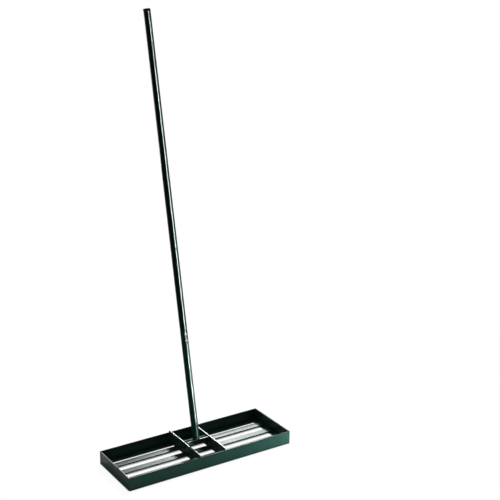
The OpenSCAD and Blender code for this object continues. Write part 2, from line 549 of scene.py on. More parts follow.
def thread_shape() -> NodeShape:
    """Makes the tree that winds a screw thread round a shank and joins it to the shape.

    Returns:
        The tree.
    """
    thread = NodeShape("thread", {"Core": "NodeSocketFloat", "Pitch": "NodeSocketFloat",
                                  "Turns": "NodeSocketFloat", "From": "NodeSocketVector"})
    graph = thread.graph
    ridge_share = 0.46
    helix = graph.add("GeometryNodeCurveSpiral", {}, {
        "Resolution": 28, "Rotations": thread["Turns"], "Start Radius": thread["Core"],
        "End Radius": thread["Core"], "Height": thread["Turns"] * thread["Pitch"]})
    ridge = graph.add("GeometryNodeCurvePrimitiveCircle", {"mode": "RADIUS"},
                      {"Resolution": 4, "Radius": ridge_share * thread["Pitch"]})
    wound = graph.add("GeometryNodeCurveToMesh", {}, {
        "Curve": helix, "Profile Curve": ridge, "Fill Caps": True})
    placed = graph.add("GeometryNodeTransform", {}, {"Geometry": wound, "Translation": thread["From"]})
    return thread.close(graph.add("GeometryNodeJoinGeometry", {}, {"Geometry": [thread["Geometry"], placed]}))


def bead_shape() -> NodeShape:
    """Makes the tree that lays a rippled weld bead along every line of a mesh.

    Returns:
        The tree.
    """
    bead = NodeShape("bead", {"Radius": "NodeSocketFloat", "Ripple": "NodeSocketFloat",
                              "Swell": "NodeSocketFloat", "Wander": "NodeSocketFloat"})
    graph = bead.graph
    sway_size = 4.0 * MM
    path = graph.add("GeometryNodeMeshToCurve", {}, {"Mesh": bead["Geometry"]})
    fine = graph.add("GeometryNodeResampleCurve", {"mode": "LENGTH"},
                     {"Curve": path, "Length": 0.25 * bead["Ripple"]})
    along = graph.add("GeometryNodeSplineParameter").pick("Length")
    coin = (along / bead["Ripple"]) % 1.0
    place = graph.add("GeometryNodeInputPosition")
    sway = graph.grain(place, sway_size, 1.0) - 0.5
    girth = bead["Radius"] * (1.0 + bead["Swell"] * (coin - coin * coin) * 4.0 + bead["Wander"] * sway)
    ring = graph.add("GeometryNodeCurvePrimitiveCircle", {"mode": "RADIUS"},
                     {"Resolution": 10, "Radius": 1.0})
    return bead.close(graph.add("GeometryNodeCurveToMesh", {}, {
        "Curve": fine, "Profile Curve": ring, "Scale": girth, "Fill Caps": True}))


class Workpiece:
    """A shape in the making: a draft object whose modifiers end as one plain mesh."""

    def __init__(self, name: str, shape: bmesh.types.BMesh) -> None:
        """Puts the shape into a draft object.

        Args:
            name: the name of the finished piece.
            shape: its mesh, which is used up.
        """
        self.name = name
        self.draft = put(name + "_draft", mesh_of(name, shape))

    def run(self, tree: NodeShape, finish: Finish, **inputs: Any) -> "Workpiece":
        """Adds a tree to the draft.

        Args:
            tree: the Geometry Nodes tree.
            finish: the finish of what it makes.
            inputs: the tree's inputs by name, with _ for a space.

        Returns:
            This workpiece.
        """
        modifier = self.draft.modifiers.new(tree.tree.name, "NODES")
        modifier.node_group = tree.tree
        modifier[tree.identifier("Material")] = finish.material()
        for name, value in inputs.items():
            modifier[tree.identifier(name.replace("_", " "))] = value
        return self

    def place(self, body: Body, finish: Finish, *nodes: str) -> bpy.types.Object:
        """Turns the draft into a piece of the object.

        Args:
            body: the body that the piece rides on.
            finish: the finish that it takes.
            nodes: the CAD nodes that it stands for.

        Returns:
            The piece.
        """
        for face in self.draft.data.polygons:
            face.use_smooth = True
        self.draft.data.set_sharp_from_angle(angle=SHADED_TURN)
        even = self.draft.modifiers.new("even_normals", "WEIGHTED_NORMAL")
        even.keep_sharp = True
        graph = bpy.context.evaluated_depsgraph_get()
        mesh = bpy.data.meshes.new_from_object(
            self.draft.evaluated_get(graph), preserve_all_data_layers=True, depsgraph=graph)
        mesh.name = self.name
        mesh.materials.clear()
        mesh.materials.append(finish.material())
        bpy.data.objects.remove(self.draft)
        piece = put(self.name, mesh)
        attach(piece, body.value)
        if nodes:
            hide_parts(*nodes)
        log.info("%s rides on %s, %d faces, stands for %s", self.name, body.value, len(mesh.polygons),
                 ", ".join(nodes) or "no node")
        return piece


SIDES = {(-1, 0, 0): ((0, 0, 0), (0, 0, 1), (0, 1, 1), (0, 1, 0)),
         (1, 0, 0): ((1, 0, 0), (1, 1, 0), (1, 1, 1), (1, 0, 1)),
         (0, -1, 0): ((0, 0, 0), (1, 0, 0), (1, 0, 1), (0, 0, 1)),
         (0, 1, 0): ((0, 1, 0), (0, 1, 1), (1, 1, 1), (1, 1, 0)),
         (0, 0, -1): ((0, 0, 0), (0, 1, 0), (1, 1, 0), (1, 0, 0)),
         (0, 0, 1): ((0, 0, 1), (1, 0, 1), (1, 1, 1), (0, 1, 1))}


def block(xs: Sequence[float], ys: Sequence[float], zs: Sequence[float],
          filled: Iterable[tuple[int, int, int]]) -> bmesh.types.BMesh:
    """Makes a right-angled solid out of the filled cells of a grid.

    Args:
        xs: the grid's places along X.
        ys: the grid's places along Y.
        zs: the grid's places along Z.
        filled: the cells that are solid, by their place in each row.

    Returns:
        The solid's skin.
    """
    shape = bmesh.new()
    corners: dict[tuple[int, ...], bmesh.types.BMVert] = {}

    def corner(key: tuple[int, ...]) -> bmesh.types.BMVert:
        """Makes the point at a corner of the grid on first use.

        Args:
            key: the corner's place in each row.

        Returns:
            The point.
        """
        if key not in corners:
            corners[key] = shape.verts.new((xs[key[0]], ys[key[1]], zs[key[2]]))
        return corners[key]

    cells = sorted(filled)
    for cell in cells:
        for way, face in SIDES.items():
            if tuple(map(sum, zip(cell, way))) not in cells:
                shape.faces.new([corner(tuple(map(sum, zip(cell, step)))) for step in face])
    bmesh.ops.dissolve_limit(shape, angle_limit=0.01, verts=shape.verts, edges=shape.edges)
    return shape


def ease(shape: bmesh.types.BMesh, width: float, steps: int = 2, wear: float = 1.0,
         chosen: Callable[[bmesh.types.BMEdge], bool] = lambda edge: True) -> bmesh.types.BMesh:
    """Rounds sharp edges, and marks the rounding and narrow upper faces as edge.

    Args:
        shape: the mesh to change.
        width: how far the rounding reaches from the edge.
        steps: its faces across.
        wear: how strongly they are marked.
        chosen: tells which of the sharp edges are rounded.

    Returns:
        The same mesh.
    """
    layer = shape.faces.layers.float.get(EDGE) or shape.faces.layers.float.new(EDGE)
    sharp = [edge for edge in shape.edges if edge.calc_face_angle(0.0) > SHARP_TURN and chosen(edge)]
    made = bmesh.ops.bevel(shape, geom=sharp, offset=width, offset_type="OFFSET", segments=steps, profile=0.5,
                           affect="EDGES", clamp_overlap=True)
    shape.normal_update()
    narrow = [face for face in shape.faces if face.normal.z > 0.9
              and face.calc_area() < NARROW * max(edge.calc_length() for edge in face.edges)]
    for face in [*made["faces"], *narrow]:
        face[layer] = wear
    return shape


def turn(rings: Sequence[Ring], steps: int, hollow: bool = False) -> bmesh.types.BMesh:
    """Turns an outline about Z into a closed skin.

    Args:
        rings: radius and height of each ring, up the outside, where a radius of 0 is a pole.
        steps: points round each ring.
        hollow: whether the last ring joins the first, as on a tube.

    Returns:
        The skin.
    """
    shape = bmesh.new()

    def loop(radius: Measure, height: Measure) -> list[bmesh.types.BMVert]:
        """Makes the points of one ring.

        Args:
            radius: the ring's radius, or its rule by angle.
            height: the ring's height, or its rule by angle.

        Returns:
            The points, of which a pole has one.
        """
        if radius == 0.0:
            return [shape.verts.new((0.0, 0.0, height))]
        points = []
        for step in range(steps):
            angle = math.tau * step / steps
            reach = radius(angle) if callable(radius) else radius
            level = height(angle) if callable(height) else height
            points.append(shape.verts.new((reach * math.cos(angle), reach * math.sin(angle), level)))
        return points

    loops = [loop(*ring) for ring in rings]
    pairs = list(zip(loops, loops[1:])) + ([(loops[-1], loops[0])] if hollow else [])
    for low, high in pairs:
        for step in range(steps):
            after = (step + 1) % steps
            spots = ((low, step), (low, after), (high, after), (high, step))
            shape.faces.new(list(dict.fromkeys(ring[at % len(ring)] for ring, at in spots)))
    bmesh.ops.recalc_face_normals(shape, faces=shape.faces)
    return shape


def arc(centre: tuple[float, float], radius: float, start: float, end: float, steps: int) -> list[Ring]:
    """Gives points of a circle's arc.

    Args:
        centre: the circle's middle.
        radius: its radius.
        start: the first point's angle in degrees.
        end: the last point's angle in degrees.
        steps: the number of parts.

    Returns:
        The points, from start to end.
    """
    angles = [math.radians(start + (end - start) * step / steps) for step in range(steps + 1)]
    return [(centre[0] + radius * math.cos(a), centre[1] + radius * math.sin(a)) for a in angles]


@dataclass(frozen=True)
class Hexagon:
    """The outline of a hexagon head or nut with turned-off corners."""

    flats: float
    chamfer: float = math.tan(math.radians(30.0))
    turned: float = 0.94

    @property
    def crown(self) -> float:
        """Radius of the flat that the chamfer leaves."""
        return 0.5 * self.flats * self.turned

    def reach(self, angle: float) -> float:
        """Distance from the axis to the side at an angle, with a corner at 0."""
        return 0.5 * self.flats / math.cos(angle % (math.pi / 3.0) - math.pi / 6.0)

    def rim(self, height: float, way: float) -> Ring:
        """Gives the ring where a chamfer meets the sides.

        Args:
            height: the height of the end face.
            way: 1 for the upper end and -1 for the lower one.

        Returns:
            The ring.
        """
        return self.reach, lambda angle: height - way * self.chamfer * (self.reach(angle) - self.crown)


@dataclass(frozen=True)
class Line:
    """An axis of the rake, on which nodes are measured."""

    origin: Vector
    along: Vector

    def measure(self, node: str) -> list[tuple[float, float]]:
        """Measures a node's points.

        Args:
            node: the name of a CAD node.

        Returns:
            Each point's distance along the axis and its distance from it.
        """
        found = []
        for vertex in frame["nodes"][node].data.vertices:
            arm = vertex.co - self.origin
            height = arm.dot(self.along)
            found.append((height, (arm - height * self.along).length))
        return found

    def span(self, node: str) -> tuple[float, float]:
        """Gives where a node begins and ends along the axis."""
        heights = [height for height, _ in self.measure(node)]
        return min(heights), max(heights)

    def radii(self, node: str, at: float) -> tuple[float, float]:
        """Gives the smallest and largest radius of a node at a height."""
        found = [radius for height, radius in self.measure(node) if abs(height - at) < TOUCH]
        return min(found), max(found)

    def widest(self, node: str) -> float:
        """Gives the largest radius of a node."""
        return max(radius for _, radius in self.measure(node))

    def first(self, node: str, radius: float) -> float:
        """Gives the lowest height at which a node has a radius."""
        return min(height for height, reach in self.measure(node) if abs(reach - radius) < TOUCH)


def hinge() -> Vector:
    """Gives the place of the handle's joint."""
    return next(Vector(joint["pos_m"]) for joint in frame["joints"] if joint["name"] == "handle_tilt")


def straight(start: Sequence[float], end: Sequence[float]) -> Seam:
    """Gives a straight seam between two points."""
    return [Vector(start), Vector(end)]


class Workshop:
    """What every sub-assembly works with: finishes and trees."""

    def __init__(self) -> None:
        """Makes the finishes and the trees."""
        self.paint = PowderCoat("green_powder_coat", Slot.PAINT)
        self.rim_paint = PowderCoat("green_rim_coat", Slot.PAINT, rim=0.5)
        # painted shade: the upper tubes take the head's green paint in a darker copy, which stands for their shade
        self.tube_shaded_paint = PowderCoat(
            "green_tube_coat", Slot.PAINT, roughness=0.18, specular=0.016,
            tone=(0.0015, 0.0090, 0.0070, 1.0), cloud=(0.0020, 0.0105, 0.0080, 1.0))
        # painted light: the lower tube takes a lighter copy of the same paint, which stands for the light on it
        self.foot_lit_paint = replace(
            self.tube_shaded_paint, name="green_foot_coat",
            tone=(0.0045, 0.0245, 0.0190, 1.0), cloud=(0.0055, 0.0280, 0.0215, 1.0))
        self.yoke_paint = PowderCoat("green_yoke_coat", Slot.PAINT, roughness=0.50, specular=0.0, rim=0.8)
        between_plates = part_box("right_cross_plate")[0].x
        self.slat_paint = PowderCoat("green_slat_coat", Slot.PAINT, rubbed=between_plates)
        self.zinc = ZincPlate("bright_zinc", Slot.ZINC)
        self.black_steel = BlackOxide("black_oxide_steel", Slot.BLACK_STEEL)
        self.plastic = MouldedPlastic("black_satin_plastic", Slot.PLASTIC)
        self.row = row_shape()
        self.thread = thread_shape()
        self.bead = bead_shape()

    def weld(self, name: str, seams: Sequence[Seam], radius: float, body: Body) -> None:
        """Lays painted weld beads.

        Args:
            name: the piece's name.
            seams: the lines that the beads follow.
            radius: the beads' radius.
            body: the body that they ride on.
        """
        ripple, swell, wander = 2.2 * MM, 0.16, 0.35
        lines = bmesh.new()
        for seam in seams:
            points = [lines.verts.new(point) for point in seam]
            for first, second in zip(points, points[1:]):
                lines.edges.new((first, second))
        piece = Workpiece(name, lines)
        piece.run(self.bead, self.paint, Radius=radius, Ripple=ripple, Swell=swell, Wander=wander)
        piece.place(body, self.paint)

    def cut_thread(self, bolt: Workpiece, finish: Finish, shank: float, pitch: float,
                   start: float, end: float) -> None:
        """Winds a thread round a bolt.

        Args:
            bolt: the bolt, along Z.
            finish: its finish.
            shank: its radius.
            pitch: the thread's pitch.
            start: the height where the thread begins.
            end: the height that it stays below.
        """
        turns = (end - start) / pitch - 0.5
        bolt.run(self.thread, finish, Core=shank - 0.5 * pitch, Pitch=pitch, Turns=turns,
                 From=(0.0, 0.0, start))


@dataclass
class HeadFrame:
    """The four steel angles round the head, and the beads in their corners."""

    length: float
    depth: float
    height: float
    wall: float
    leg: float
    leg_thick: float
    corner: float
    edge: float = 0.7 * MM
    bead: float = 2.0 * MM

    @classmethod
    def from_frame(cls) -> "HeadFrame":
        """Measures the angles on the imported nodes.

        Returns:
            The measured angles.
        """
        low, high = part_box("front_wall")
        front = [v.co.x for v in frame["nodes"]["front_wall"].data.vertices if abs(v.co.y - low.y) < TOUCH]
        return cls(length=high.x - low.x, depth=-2.0 * low.y, height=high.z,
                   wall=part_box("left_cross_plate")[0].y - low.y, leg=high.y - low.y,
                   leg_thick=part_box("front_slat")[0].z, corner=min(front) - low.x)

    def long_angle(self) -> bmesh.types.BMesh:
        """Makes the front angle: an upright wall with rounded ends, and an inward leg.

        Returns:
            The angle's skin.
        """
        end, front = 0.5 * self.length, -0.5 * self.depth
        shape = block((-end, end), (front, front + self.wall, front + self.leg),
                      (0.0, self.leg_thick, self.height), ((0, 0, 0), (0, 0, 1), (0, 1, 0)))

        def outer(edge: bmesh.types.BMEdge) -> bool:
            """Tells whether an edge stands at an outer corner of the head."""
            return all(abs(abs(v.co.x) - end) < TOUCH and abs(v.co.y - front) < TOUCH for v in edge.verts)

        ease(shape, self.corner, steps=5, wear=0.0, chosen=outer)
        return ease(shape, self.edge)

    def short_angle(self) -> bmesh.types.BMesh:
        """Makes the left end's angle, whose wall stands between the long walls.

        Returns:
            The angle's skin.
        """
        end, side = -0.5 * self.length, 0.5 * self.depth
        ys = (self.wall - side, self.leg - side, side - self.leg, side - self.wall)
        shape = block((end, end + self.wall, end + self.leg), ys, (0.0, self.leg_thick, self.height),
                      ((0, 0, 1), (0, 1, 1), (0, 2, 1), (0, 1, 0), (1, 1, 0)))
        return ease(shape, self.edge)

    def seams(self) -> list[Seam]:
        """Gives the lines where the angles are welded: up each corner, and across each leg.

        Returns:
            The lines.
        """
        found = []
        inner_x, inner_y = 0.5 * self.length - self.wall, 0.5 * self.depth - self.wall
        leg_x, leg_y = 0.5 * self.length - self.leg, 0.5 * self.depth - self.leg
        foot, top = self.leg_thick, self.height - 3.0 * self.bead
        sunk = self.leg_thick - 0.4 * self.bead
        for x in (-1.0, 1.0):
            for y in (-1.0, 1.0):
                found.append(straight((x * inner_x, y * inner_y, foot), (x * inner_x, y * inner_y, top)))
                found.append(straight((x * inner_x, y * leg_y, sunk), (x * leg_x, y * leg_y, sunk)))
        return found

    def build(self, shop: Workshop) -> None:
        """Makes the angles and their welds.

        Args:
            shop: the finishes and trees.
        """
        half_turn = Matrix.Rotation(math.pi, 3, "Z")
        for name, make, turned, node in (("front_angle", self.long_angle, False, "front_wall"),
                                         ("back_angle", self.long_angle, True, "back_wall"),
                                         ("left_end_angle", self.short_angle, False, "left_end_wall"),
                                         ("right_end_angle", self.short_angle, True, "right_end_wall")):
            shape = make()
            if turned:
                bmesh.ops.rotate(shape, verts=shape.verts, matrix=half_turn)
            Workpiece(name, shape).place(Body.HEAD, shop.paint if turned else shop.rim_paint, node)
        shop.weld("corner_welds", self.seams(), self.bead, Body.HEAD)


@dataclass
class Rack:
    """The slats, the two cross plates on them, and their welds."""

    slat_low: Vector
    slat_high: Vector
    pitch: float
    plate_low: Vector
    plate_high: Vector
    leg_end: float
    wall_top: float
    edge: float = 0.7 * MM
    bead: float = 1.9 * MM

    @classmethod
    def from_frame(cls) -> "Rack":
        """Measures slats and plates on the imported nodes.

        Returns:
            The measured rack.
        """
        low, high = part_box("middle_slat")
        plate_low, plate_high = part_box("right_cross_plate")
        return cls(slat_low=low, slat_high=high, pitch=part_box("rear_slat")[0].y - low.y,
                   plate_low=plate_low, plate_high=plate_high, leg_end=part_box("right_end_wall")[0].x,
                   wall_top=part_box("front_wall")[1].z)

    def bar(self, low: Vector, high: Vector) -> bmesh.types.BMesh:
        """Makes a rolled flat bar between two corners."""
        return ease(block((low.x, high.x), (low.y, high.y), (low.z, high.z), ((0, 0, 0),)), self.edge)

    def rows(self) -> tuple[float, ...]:
        """Gives the middle of each slat along Y."""
        return -self.pitch, 0.0, self.pitch

    def seams(self) -> list[Seam]:
        """Gives the lines of the welds: slats to end legs, plates to slats, and plates to walls.

        Returns:
            The lines.
        """
        found = []
        half = self.slat_high.y
        foot, top, crown = self.slat_low.z, self.slat_high.z, self.wall_top - 2.0 * self.bead
        for side in (-1.0, 1.0):
            leg, end = side * (self.leg_end + self.bead), side * (self.slat_high.x - self.bead)
            faces = (side * self.plate_low.x, side * self.plate_high.x)
            for row in self.rows():
                for edge in (row - half, row + half):
                    found.append(straight((leg, edge, foot), (end, edge, foot)))
                near, far = row - half + self.bead, row + half - self.bead
                for face in faces:
                    found.append(straight((face, near, top), (face, far, top)))
            for face in faces:
                for wall in (self.plate_low.y, self.plate_high.y):
                    found.append(straight((face, wall, top + self.bead), (face, wall, crown)))
        return found

    def build(self, shop: Workshop) -> None:
        """Makes the slats, the plates and their welds.

        Args:
            shop: the finishes and trees.
        """
        slats = Workpiece("slats", self.bar(self.slat_low, self.slat_high))
        slats.run(shop.row, shop.paint, Count=3, Start=(0.0, -self.pitch, 0.0), Step=(0.0, self.pitch, 0.0))
        slats.place(Body.HEAD, shop.slat_paint, "front_slat", "middle_slat", "rear_slat")
        plates = Workpiece("cross_plates", self.bar(self.plate_low, self.plate_high))
        plates.run(shop.row, shop.paint, Count=2, Turn_Step=(0.0, 0.0, math.pi))
        plates.place(Body.HEAD, shop.rim_paint, "left_cross_plate", "right_cross_plate")
        shop.weld("rack_welds", self.seams(), self.bead, Body.HEAD)


def washer_shape(low: float, high: float, bore: float, outer: float) -> bmesh.types.BMesh:
    """Makes a punched washer or spacer with a rolled edge.

    Args:
        low: its lower face.
        high: its upper face.
        bore: the radius of its hole.
        outer: its outer radius.

    Returns:
        The washer's skin.
    """
    roll_share = 0.22
    roll = roll_share * min(high - low, outer - bore)
    rings = [(bore, low + roll), (bore + roll, low), (outer - roll, low), (outer, low + roll),
             (outer, high - roll), (outer - roll, high), (bore + roll, high), (bore, high - roll)]
    return turn(rings, 48, hollow=True)


def nut_shape(low: float, high: float, bore: float, flats: float) -> bmesh.types.BMesh:
    """Makes a lock nut: a hexagon with a round collar at its lower end.

    Args:
        low: the collar's end.
        high: the seat's face.
        bore: the radius of its hole.
        flats: its width across the flats.

    Returns:
        The nut's skin.
    """
    shoulder_share, lip_share, collar_share, groove_share = 0.30, 0.10, 0.43, 0.02
    hexagon = Hexagon(flats)
    shoulder = low + shoulder_share * (high - low)
    collar = collar_share * flats
    lip = lip_share * (high - low)
    rings = [(bore, low + lip), (bore + lip, low), *arc((collar - lip, low + lip), lip, -90.0, 0.0, 4),
             (collar, shoulder - groove_share * flats), (hexagon.crown, shoulder),
             hexagon.rim(shoulder, -1.0), hexagon.rim(high, 1.0), (hexagon.crown, high),
             (bore + lip, high), (bore, high - lip)]
    return turn(rings, 72, hollow=True)


def threaded_end(tip: float, core: float, chamfer: float, end: float, shank: float) -> list[Ring]:
    """Gives the rings of a bolt's thinner, threaded end.

    Args:
        tip: the height of the tip's face.
        core: the radius under the thread.
        chamfer: the size of the tip's chamfer.
        end: the height where the shank begins.
        shank: the shank's radius.

    Returns:
        The rings, from the middle of the tip to the shank.
    """
    runout = 0.4 * MM
    return [(0.0, tip), (core - chamfer, tip), (core, tip + chamfer), (core, end), (shank, end + runout)]


@dataclass
class Pivot:
    """The two bolts that the handle turns on, with their nuts, washers and spacers."""

    axis: Line
    thread_pitch: float = 1.25 * MM
    thread_start: float = 1.0 * MM
    core_share: float = 0.55
    chamfer: float = 0.8 * MM

    @classmethod
    def from_frame(cls) -> "Pivot":
        """Takes the axis from the handle's joint."""
        return cls(Line(hinge(), Vector((1.0, 0.0, 0.0))))

    def bolt(self, tip: float, shank: float, worn: float) -> bmesh.types.BMesh:
        """Makes the right bolt: chamfered hexagon head, shank and a thinner threaded end.

        Args:
            tip: the height of its tip.
            shank: its radius.
            worn: where its thread ends.

        Returns:
            The bolt's skin.
        """
        top = self.axis.span("right_pivot_bolt")[1]
        seat = self.axis.span("right_head_washer")[1]
        low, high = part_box("right_pivot_bolt")
        hexagon = Hexagon(high.y - low.y)
        core = shank - self.core_share * self.thread_pitch
        rings = [*threaded_end(tip, core, self.chamfer, worn, shank), (shank, seat), (hexagon.reach, seat),
                 hexagon.rim(top, 1.0), (hexagon.crown, top), (0.0, top)]
        return turn(rings, 72)

    def set_out(self, piece: Workpiece, shop: Workshop, body: Body, node: str) -> None:
        """Puts a right-hand shape on both sides of the head.

        Args:
            piece: the shape, along the axis from the middle of the head.
            shop: the finishes and trees.
            body: the body that it rides on.
            node: the CAD nodes that it stands for, without their side.
        """
        piece.run(shop.row, shop.black_steel, Count=2, Start=tuple(self.axis.origin),
                  Turn=(0.0, 0.5 * math.pi, 0.0), Turn_Step=(0.0, math.pi, 0.0))
        piece.place(body, shop.black_steel, "left_" + node, "right_" + node)

    def build(self, shop: Workshop) -> None:
        """Makes the pivot's hardware.

        Args:
            shop: the finishes and trees.
        """
        tip = self.axis.span("right_pivot_bolt")[0]
        shank = self.axis.radii("right_pivot_bolt", tip)[1]
        worn = self.axis.span("right_nut_washer")[0]
        bolts = Workpiece("pivot_bolts", self.bolt(tip, shank, worn))
        shop.cut_thread(bolts, shop.black_steel, shank, self.thread_pitch, tip + self.thread_start, worn)
        self.set_out(bolts, shop, Body.HEAD, "pivot_bolt")
        low, high = self.axis.span("right_pivot_nut")
        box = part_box("right_pivot_nut")
        nuts = Workpiece("pivot_lock_nuts", nut_shape(low, high, shank, box[1].y - box[0].y))
        self.set_out(nuts, shop, Body.HEAD, "pivot_nut")
        for name, node, body in (("pivot_head_washers", "head_washer", Body.HEAD),
                                 ("pivot_spacers", "spacer", Body.HANDLE),
                                 ("pivot_nut_washers", "nut_washer", Body.HANDLE)):
            low, high = self.axis.span("right_" + node)
            bore, outer = self.axis.radii("right_" + node, low)
            self.set_out(Workpiece(name, washer_shape(low, high, bore, outer)), shop, body, node)


@dataclass
class Handle:
    """The yoke, the three tubes, the end cap and the bolted joint between the lower tubes."""

    line: Line
    bar_edge: float = 1.2 * MM
    bar_band: float = 3.0 * MM
    rim: float = 0.35 * MM
    bead: float = 2.4 * MM
    bead_sweep: float = 132.0
    thread_pitch: float = 1.0 * MM
    thread_start: float = 0.8 * MM
    chamfer: float = 0.6 * MM
    dome_lip: float = 0.3 * MM
    gate: float = 2.6 * MM
    gate_pip: float = 0.7 * MM
    gate_pip_foot: float = 0.9 * MM
    gate_depth: float = 0.3 * MM
    round_steps: int = 96

    @classmethod
    def from_frame(cls) -> "Handle":
        """Takes the handle's axis from its joint and its mount."""
        mount = next(mount for mount in frame["record"]["mounts"] if mount["name"] == "handle_top")
        return cls(Line(hinge(), Vector(mount["axis"]).normalized()))

    @property
    def lean(self) -> float:
        """The handle's lean to the back, in radians."""
        return math.atan2(self.line.along.y, self.line.along.z)

    @property
    def stand(self) -> Matrix:
        """The move from an upright place about Z into the leaning handle's place."""
        return Matrix.Translation(self.line.origin) @ Matrix.Rotation(-self.lean, 4, "X")

    def raise_up(self, shape: bmesh.types.BMesh) -> bmesh.types.BMesh:
        """Moves a shape about Z into the leaning handle's place."""
        bmesh.ops.transform(shape, verts=shape.verts, matrix=self.stand)
        return shape

    def yoke_stations(self, outer: float, thick: float) -> list[Station]:
        """Gives the places along the yoke's bar: round the right foot, up its side, and on to the left.

        Args:
            outer: the distance from the handle's axis to the bar's outer face.
            thick: the bar's thickness.

        Returns:
            For each place its middle, the way to the bar's outer face, and half the bar's width.
        """
        foot_sweep, foot_steps, bend_steps = 86.0, 16, 8
        low, top = self.line.span("yoke")
        foot = -low
        flat = self.line.radii("yoke", top)[1]
        bend = outer - math.sqrt(flat * flat - foot * foot)
        stations = []
        for width, drop in reversed(arc((0.0, 0.0), foot, 0.0, foot_sweep, foot_steps)):
            stations.append((Vector((outer - 0.5 * thick, -drop)), Vector((1.0, 0.0)), width))
        for across, up in arc((0.0, 0.0), 1.0, 0.0, 90.0, bend_steps):
            way = Vector((across, up))
            stations.append((Vector((outer - bend, top - bend)) + (bend - 0.5 * thick) * way, way, foot))
        return stations + [(Vector((-spot.x, spot.y)), Vector((-way.x, way.y)), half)
                           for spot, way, half in reversed(stations)]

    def yoke_outline(self, thick: float, half: float) -> list[tuple[float, float]]:
        """Gives the outline across the yoke's bar, with rolled edges.

        Args:
            thick: the bar's thickness.
            half: half the bar's width.

        Returns:
            The points, outwards and sideways. The last two are where the outer face's worn bands end.
        """
        roll = min(self.bar_edge, 0.4 * half)
        band = half - roll - min(self.bar_band, 0.3 * half)
        points = []
        for quarter, (out, side) in enumerate(((1.0, 1.0), (-1.0, 1.0), (-1.0, -1.0), (1.0, -1.0))):
            centre = (out * (0.5 * thick - roll), side * (half - roll))
            points += arc(centre, roll, 90.0 * quarter, 90.0 * quarter + 90.0, 2)
        return points + [(0.5 * thick, -band), (0.5 * thick, band)]

    def yoke(self, pivot: Line) -> bmesh.types.BMesh:
        """Makes the bent bar, from foot to foot.

        Args:
            pivot: the axis that its feet turn on.

        Returns:
            The bar's skin.
        """
        # the outline's steps along the inner face and between the outer face's bands
        broad_steps = (5, 12)
        outer, inner = pivot.span("right_spacer")[0], pivot.span("right_nut_washer")[1]
        thick = outer - inner
        shape = bmesh.new()
        layer = shape.faces.layers.float.new(EDGE)
        loops = []
        for spot, way, half in self.yoke_stations(outer, thick):
            loops.append([shape.verts.new((spot.x + out * way.x, side, spot.y + out * way.y))
                          for out, side in self.yoke_outline(thick, half)])
        for low, high in zip(loops, loops[1:]):
            for step in range(len(low)):
                after = (step + 1) % len(low)
                face = shape.faces.new((low[step], low[after], high[after], high[step]))
                face[layer] = 0.0 if step in broad_steps else 1.0
        shape.faces.new(loops[0])
        shape.faces.new(loops[-1])
        bmesh.ops.recalc_face_normals(shape, faces=shape.faces)
        return self.raise_up(shape)

    def broken_rim(self, outer: float, high: float) -> list[Ring]:
        """Gives the rounded outer rim at a tube's upper end."""
        return arc((outer - self.rim, high - self.rim), self.rim, 0.0, 90.0, 3)

    def plain_tube(self, node: str) -> bmesh.types.BMesh:
        """Makes the lower tube, cut square with broken rims.

        Args:
            node: its CAD node.

        Returns:
            The tube's skin.
        """
        low, high = self.line.span(node)
        bore, outer = self.line.radii(node, high)
        rings = [(bore, low), (outer, low), *self.broken_rim(outer, high),
                 (bore + self.rim, high), (bore, high - self.rim)]
        return self.raise_up(turn(rings, self.round_steps, hollow=True))

    def drawn_tube(self, node: str, seam: float) -> bmesh.types.BMesh:
        """Makes a tube whose foot is drawn down to slide into the tube below.

        Args:
            node: its CAD node.
            seam: where the tube below ends.

        Returns:
            The tube's skin.
        """
        low, high = self.line.span(node)
        bore, outer = self.line.radii(node, high)
        slim = self.line.radii(node, low)[1]
        neck = self.line.first(node, outer)
        wall = outer - bore
        neck_steps = 8
        neck_shares = [step / neck_steps for step in range(neck_steps + 1)]
        neck_rings = [(slim + (outer - slim) * 0.5 * (1.0 - math.cos(math.pi * share)),
                       seam + (neck - seam) * share) for share in neck_shares]
        rings = [(slim - wall, low), (slim, low), *neck_rings, *self.broken_rim(outer, high),
                 (bore, high), (bore, neck), (slim - wall, seam)]
        return self.raise_up(turn(rings, self.round_steps, hollow=True))

    def cap(self) -> bmesh.types.BMesh:
        """Makes the plug with its round-edged top and a shallow gate mark in the middle.

        Returns:
            The cap's skin.
        """
        low, high = self.line.span("end_cap")
        seat = self.line.span("top_tube")[1]
        plug, side, top = (self.line.radii("end_cap", height)[1] for height in (low, seat, high))
        curve = side - top
        sunk = high - self.gate_depth
        rings = [(0.0, low), (plug - self.chamfer, low), (plug, low + self.chamfer), (plug, seat),
                 (side - self.rim, seat), (side, seat + self.rim),
                 *arc((top, high - curve), curve, 0.0, 90.0, 8),
                 (self.gate, high), (self.gate - self.gate_depth, sunk), (self.gate_pip_foot, sunk),
                 (self.gate_pip, high), (0.0, high)]
        return self.raise_up(turn(rings, self.round_steps))

    def bolt_points(self) -> tuple[float, float]:
        """Gives the heights of the upper and lower joint bolts."""
        return tuple(0.5 * sum(self.line.span(node)) for node in ("upper_joint_bolt", "lower_joint_bolt"))

    def set_out(self, piece: Workpiece, shop: Workshop, node: str) -> None:
        """Puts a shape that lies across the handle at both joint bolts.

        Args:
            piece: the shape, along the bolt from the tube's axis to the front.
            shop: the finishes and trees.
            node: the CAD nodes that it stands for, without upper or lower.
        """
        upper, lower = (self.line.origin + at * self.line.along for at in self.bolt_points())
        piece.run(shop.row, shop.zinc, Count=2, Start=tuple(upper), Step=tuple(lower - upper),
                  Turn=(0.5 * math.pi - self.lean, 0.0, 0.0))
        piece.place(Body.HANDLE, shop.zinc, "upper_" + node, "lower_" + node)

